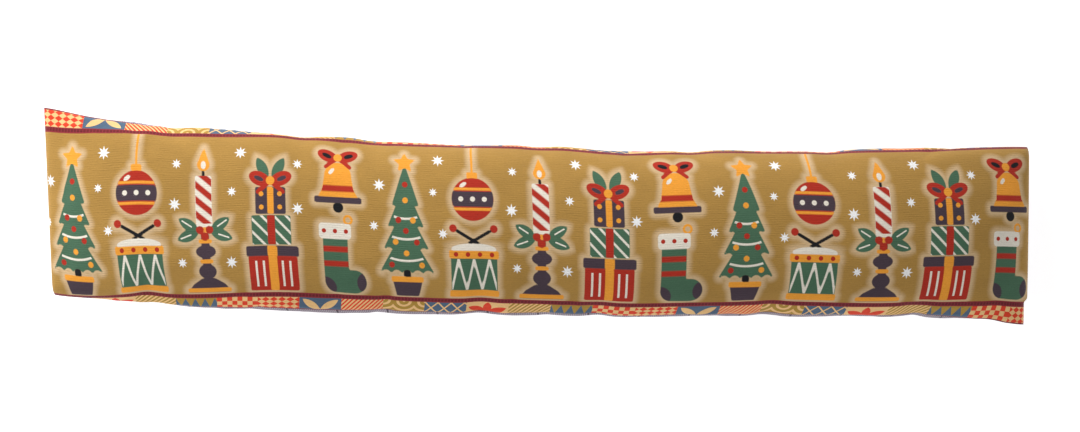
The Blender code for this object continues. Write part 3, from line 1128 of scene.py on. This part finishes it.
# %% Draw the stars
STAR_COLOUR = "#FFFFFF"
STAR_POINTS = 8
STAR_INNER = 0.46
STAR_SOFT = 0.03

fold = math.pi / STAR_POINTS
slope = math.atan2(1 - STAR_INNER * math.cos(fold), STAR_INNER * math.sin(fold))
star_place = add(tree, "Attribute", attribute_name="star_place").outputs["Vector"]
reach = add(tree, "VectorMath", star_place, operation="LENGTH").outputs["Value"]
sides = add(tree, "SeparateXYZ", star_place)
angle = add(tree, "Math", sides.outputs["Y"], sides.outputs["X"], operation="ARCTAN2")
folded = add(tree, "Math", angle, fold, operation="PINGPONG")
leaning = add(tree, "Math", folded, slope, operation="SUBTRACT")
cosine = add(tree, "Math", leaning, operation="COSINE")
height = add(tree, "Math", reach, cosine, operation="MULTIPLY")
edge = math.cos(slope)
starred = add(tree, "MapRange", height, edge + STAR_SOFT, edge - STAR_SOFT, 0.0, 1.0)
colour = add(tree, "Mix", named={0: starred, 6: colour, 7: linear(STAR_COLOUR)}, **mix).outputs[2]

# %% [markdown]
# ## Stripe and patchwork border
#
# Along each long side a dark red stripe looks like a flat braid. Outside it
# runs a border of small patchwork blocks, 38 mm long, up to a thin red line at
# the seam. Such borders are common in quilting: lozenges, slanted stripes,
# leaves, petals, lattice, saw teeth, fans and checks. Each block's pattern is
# a mask from its own X and Y, and two ramps hold the two colours of each block.
# A checker's row gives its turn in degrees and its checks in a millimetre.

# %% Find the block of each point
BLOCK_LONG = 38.0
BORDER_LINE = 88.6
BORDER_SHIFT = 148.0
CREAM, ORANGE_RED, SLATE, OCHRE = "#F7C98A", "#E8452A", "#536A83", "#B68F3C"
Block = namedtuple("Block", "pattern ground figure")
BLOCKS = [
    Block("lozenges", CREAM, ORANGE_RED),
    Block("leaves", SLATE, CREAM),
    Block("fine_slant", CREAM, ORANGE_RED),
    Block("fans", CREAM, OCHRE),
    Block("lattice", SLATE, CREAM),
    Block("petals", CREAM, ORANGE_RED),
    Block("slant", OCHRE, CREAM),
    Block("teeth", SLATE, OCHRE),
    Block("checks", ORANGE_RED, CREAM),
]

below = add(tree, "Math", v, 0.0, operation="LESS_THAN")
run = add(tree, "Math", below, BORDER_SHIFT, u, operation="MULTIPLY_ADD")
run = add(tree, "Math", run, 0.5 * FLAT_LONG * MM, operation="ADD")
x = add(tree, "Math", run, BLOCK_LONG, operation="FLOORED_MODULO")
y = add(tree, "Math", across, STRIPE_TO, operation="SUBTRACT")
block = add(tree, "Math", run, BLOCK_LONG, operation="DIVIDE")
block = add(tree, "Math", block, operation="FLOOR")
block = add(tree, "Math", block, float(len(BLOCKS)), operation="FLOORED_MODULO")
spot = add(tree, "CombineXYZ", x, y, 0.0)
mirrored = add(tree, "Math", x, 0.5 * BLOCK_LONG, operation="PINGPONG")
mirrored = add(tree, "CombineXYZ", mirrored, y, 0.0)

# %% Draw the straight patterns
TOOTH_LONG, TOOTH_HIGH = 9.0, 12.5
LATTICE_LONG, LATTICE_HALF, LATTICE_LEAN = 12.0, 0.9, 0.85
Slant = namedtuple("Slant", "lean pitch")
SLANTS = {"slant": Slant(0.9, 4.6), "fine_slant": Slant(0.75, 4.0)}
Checker = namedtuple("Checker", "turn along over")
CHECKERS = {"lozenges": Checker(45, 0.190, 0.272), "checks": Checker(0, 0.2105, 0.208)}

masks = {}
for name, checker in CHECKERS.items():
    turn, scale = (0, 0, math.radians(checker.turn)), (checker.along, checker.over, 1)
    placed = add(tree, "Mapping", spot, (0, 0, 0.5), turn, scale)
    masks[name] = add(tree, "TexChecker", placed, named={"Scale": 1.0}).outputs["Fac"]
for name, (lean, pitch) in SLANTS.items():
    slant = add(tree, "Math", y, lean, x, operation="MULTIPLY_ADD")
    slant = add(tree, "Math", slant, 0.5 * pitch, operation="PINGPONG")
    masks[name] = add(tree, "Math", slant, 0.25 * pitch, operation="GREATER_THAN")
tooth = add(tree, "Math", x, 0.5 * TOOTH_LONG, operation="PINGPONG")
low = add(tree, "Math", y, 0.5 * TOOTH_LONG / TOOTH_HIGH, operation="MULTIPLY")
masks["teeth"] = add(tree, "Math", low, tooth, operation="LESS_THAN")
crossing = []
for lean in (LATTICE_LEAN, -LATTICE_LEAN):
    slant = add(tree, "Math", y, lean, x, operation="MULTIPLY_ADD")
    crossing.append(add(tree, "Math", slant, 0.5 * LATTICE_LONG, operation="PINGPONG"))
lattice = add(tree, "Math", *crossing, operation="MINIMUM")
masks["lattice"] = add(tree, "Math", lattice, LATTICE_HALF, operation="LESS_THAN")

# %% Draw the round patterns
FAN_LONG, FAN_RIB, FAN_GAP = 19.0, 2.9, 0.42
STALK = Vector((19, 13.8, 0))
Leaf = namedtuple("Leaf", "tip_x tip_y half")
LEAVES = {"leaves": [Leaf(3, 1.6, 3.6)], "petals": [Leaf(2, 6, 3.8), Leaf(19, 0.4, 3.8)]}

fan = add(tree, "Math", x, 0.5 * FAN_LONG, operation="PINGPONG")
fan = add(tree, "CombineXYZ", fan, y, 0.0)
fan = add(tree, "VectorMath", fan, operation="LENGTH").outputs["Value"]
fan = add(tree, "Math", fan, FAN_RIB, operation="PINGPONG")
masks["fans"] = add(tree, "Math", fan, FAN_GAP * FAN_RIB, operation="GREATER_THAN")
for name, leaves in LEAVES.items():
    mask = 0.0
    for tip_x, tip_y, half in leaves:
        along = Vector((tip_x, tip_y, 0)) - STALK
        radius = (0.25 * along.length_squared + half**2) / (2 * half)
        sideways = (radius - half) * Vector((-along.y, along.x, 0)).normalized()
        away = []
        for sign in (1, -1):
            middle = STALK + 0.5 * along + sign * sideways
            away.append(add(tree, "VectorMath", mirrored, middle, operation="DISTANCE").outputs["Value"])
        away = add(tree, "Math", *away, operation="MAXIMUM")
        away = add(tree, "Math", away, radius, operation="LESS_THAN")
        mask = add(tree, "Math", mask, away, operation="MAXIMUM")
    masks[name] = mask

# %% Colour the blocks
figure = 0.0
for number, row in enumerate(BLOCKS):
    chosen = add(tree, "Math", block, float(number), 0.5, operation="COMPARE")
    figure = add(tree, "Math", masks[row.pattern], chosen, figure, operation="MULTIPLY_ADD")
share = add(tree, "Math", block, 0.5, operation="ADD")
share = add(tree, "Math", share, float(len(BLOCKS)), operation="DIVIDE")
painted = {0: figure}
for socket, colours in ((6, [row.ground for row in BLOCKS]), (7, [row.figure for row in BLOCKS])):
    ramp = add(tree, "ValToRGB", share)
    set_steps(ramp.color_ramp, colours)
    painted[socket] = ramp.outputs["Color"]
border = add(tree, "Mix", named=painted, **mix).outputs[2]
print("border blocks:", len(BLOCKS), "nodes so far:", len(tree.nodes))

# %% Draw the stripe and the seam line
STRIPE_LIGHT, STRIPE_DARK, SEAM_RED = "#94323A", "#6E232B", "#84303A"
SQUARE_PITCH, SQUARE_CORE, SQUARE_HALF, SQUARE_SOFT = 6.0, 0.9, 1.4, 0.4

braid = add(tree, "Math", u, 0.5 * SQUARE_PITCH, operation="PINGPONG")
braid = add(tree, "Math", braid, 0.25 * SQUARE_PITCH, operation="SUBTRACT")
braid = add(tree, "Math", braid, operation="ABSOLUTE")
middle = add(tree, "Math", across, 0.5 * (STRIPE_FROM + STRIPE_TO), operation="SUBTRACT")
middle = add(tree, "Math", middle, operation="ABSOLUTE")
braid = add(tree, "MapRange", braid, SQUARE_CORE, SQUARE_HALF, 1.0, 0.0)
rim = add(tree, "MapRange", middle, SQUARE_HALF - SQUARE_SOFT, SQUARE_HALF + SQUARE_SOFT, 1.0, 0.0)
braid = add(tree, "Math", braid, rim, operation="MULTIPLY")
stripe = {0: braid, 6: linear(STRIPE_LIGHT), 7: linear(STRIPE_DARK)}
stripe = add(tree, "Mix", named=stripe, **mix).outputs[2]
for edge, laid in ((STRIPE_FROM, stripe), (STRIPE_TO, border), (BORDER_LINE, linear(SEAM_RED))):
    past = add(tree, "Math", across, edge, operation="GREATER_THAN")
    colour = add(tree, "Mix", named={0: past, 6: colour, 7: laid}, **mix).outputs[2]

# %% [markdown]
# The pile gives the velvet its life. Four noises are stretched over the flat
# cloth, each row of the table giving its lumps in a millimetre along and
# across: one lets the rows of pile wander, one breaks them, one makes the soft
# clouds of painted sheen where the pile leans one way and catches more light,
# and one is a fine grain. They change the brightness a little: the rows are
# painted light and shade on the pile's ribs, and the grain is the cloth's own
# tone. Rows and grain raise the surface as well.

# %% Give the velvet its pile
ROW_PITCH = 1.9
Noise = namedtuple("Noise", "along over detail")
NOISES = {
    "wander": Noise(0.05, 0.10, 2.0),
    "broken": Noise(0.11, 0.55, 1.0),
    "sheen_clouds": Noise(0.030, 0.045, 3.0),
    "grain": Noise(0.55, 0.8, 2.0),
}
BROKEN_FROM, BROKEN_TO = 0.40, 0.62
BASE_SHADE, ROW_SHADE, CLOUD_SHEEN, GRAIN_SHADE = 0.74, 0.055, 0.26, 0.26
ROW_RELIEF = 0.5
VELVET_ROUGHNESS = 0.85

noises = {}
for name, (along, over, detail) in NOISES.items():
    placed = add(tree, "Mapping", flat_place, named={"Scale": (along, over, 1.0)})
    noises[name] = add(tree, "TexNoise", placed, named={"Scale": 1.0, "Detail": detail}).outputs["Fac"]
rows = add(tree, "Math", v, 1 / ROW_PITCH, noises["wander"], operation="MULTIPLY_ADD")
rows = add(tree, "Math", rows, 2 * math.pi, operation="MULTIPLY")
rows = add(tree, "Math", rows, operation="SINE")
broken = add(tree, "MapRange", noises["broken"], BROKEN_FROM, BROKEN_TO, 0.0, 1.0)
rows = add(tree, "Math", rows, broken, operation="MULTIPLY")
# Painted light and shade: the rows and the sheen clouds lighten and darken the print's colour, while the
# grain is the cloth's own tone.
bright = BASE_SHADE
for noise, shade in ((rows, ROW_SHADE), (noises["sheen_clouds"], CLOUD_SHEEN), (noises["grain"], GRAIN_SHADE)):
    bright = add(tree, "Math", noise, shade, bright, operation="MULTIPLY_ADD")
colour = add(tree, "VectorMath", colour, operation="SCALE", named={"Scale": bright})
pile = add(tree, "Math", rows, ROW_RELIEF, noises["grain"], operation="MULTIPLY_ADD")
relief = add(tree, "Bump", named={"Strength": 0.5, "Distance": 0.0004, "Height": pile})
shader = {"Base Color": colour, "Normal": relief, "Roughness": VELVET_ROUGHNESS}
shader |= {"Sheen Weight": 0.15, "Sheen Roughness": 0.45, "Specular IOR Level": 0.2}
add(tree, "OutputMaterial", add(tree, "BsdfPrincipled", named=shader))
skin.materials.append(velvet)
print("velvet nodes:", len(tree.nodes))

# %% [markdown]
# ## The woven back
#
# The back is a plain weave of mauve-grey yarn with a fine pale pinstripe every
# 1.7 mm and a darker thread about every 46 mm. Slubs, the thicker places of a
# yarn, streak it a little. It shows only as a sliver under the lower seam, and
# from behind.

# %% The back cloth
BACK_GREY = "#8E8290"
Thread = namedtuple("Thread", "pitch half colour")
THREADS = [Thread(1.7, 0.3, "#C9BFC8"), Thread(46.0, 0.7, "#4B424E")]
YARN = 0.8
SLUBS_EACH_MM = (0.9, 0.12, 1.0)
SLUB_SHADE, BACK_BASE_SHADE = 0.3, 0.85

back, tree = new_material("plain_woven_cotton")
flat_place = add(tree, "Attribute", attribute_name="flat_place").outputs["Vector"]
axes = add(tree, "SeparateXYZ", flat_place)
u, v = axes.outputs["X"], axes.outputs["Y"]
colour = linear(BACK_GREY)
for thread in THREADS:
    stripes = add(tree, "Math", u, 0.5 * thread.pitch, operation="PINGPONG")
    stripes = add(tree, "Math", stripes, thread.half, operation="LESS_THAN")
    colour = add(tree, "Mix", named={0: stripes, 6: colour, 7: linear(thread.colour)}, **mix).outputs[2]
waves = []
for run in (u, v):
    wave = add(tree, "Math", run, 2 * math.pi / YARN, operation="MULTIPLY")
    waves.append(add(tree, "Math", wave, operation="SINE"))
weave = add(tree, "Math", *waves, operation="MULTIPLY")
slubs = add(tree, "Mapping", flat_place, named={"Scale": SLUBS_EACH_MM})
slubs = add(tree, "TexNoise", slubs, named={"Scale": 1.0, "Detail": 2.0}).outputs["Fac"]
bright = add(tree, "Math", slubs, SLUB_SHADE, BACK_BASE_SHADE, operation="MULTIPLY_ADD")
colour = add(tree, "VectorMath", colour, operation="SCALE", named={"Scale": bright})
relief = add(tree, "Bump", named={"Strength": 0.4, "Distance": 0.0002, "Height": weave})
shader = {"Base Color": colour, "Normal": relief, "Roughness": 0.9, "Sheen Weight": 0.1}
add(tree, "OutputMaterial", add(tree, "BsdfPrincipled", named=shader))
skin.materials.append(back)
print("back nodes:", len(tree.nodes))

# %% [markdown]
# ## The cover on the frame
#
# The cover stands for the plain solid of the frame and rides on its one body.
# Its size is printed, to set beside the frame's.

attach(cover, "root")
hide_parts("filled_cover")

low, high = (list(corner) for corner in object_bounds())
print("visual box in mm:", [round(MM * (b - a), 1) for a, b in zip(low, high)])
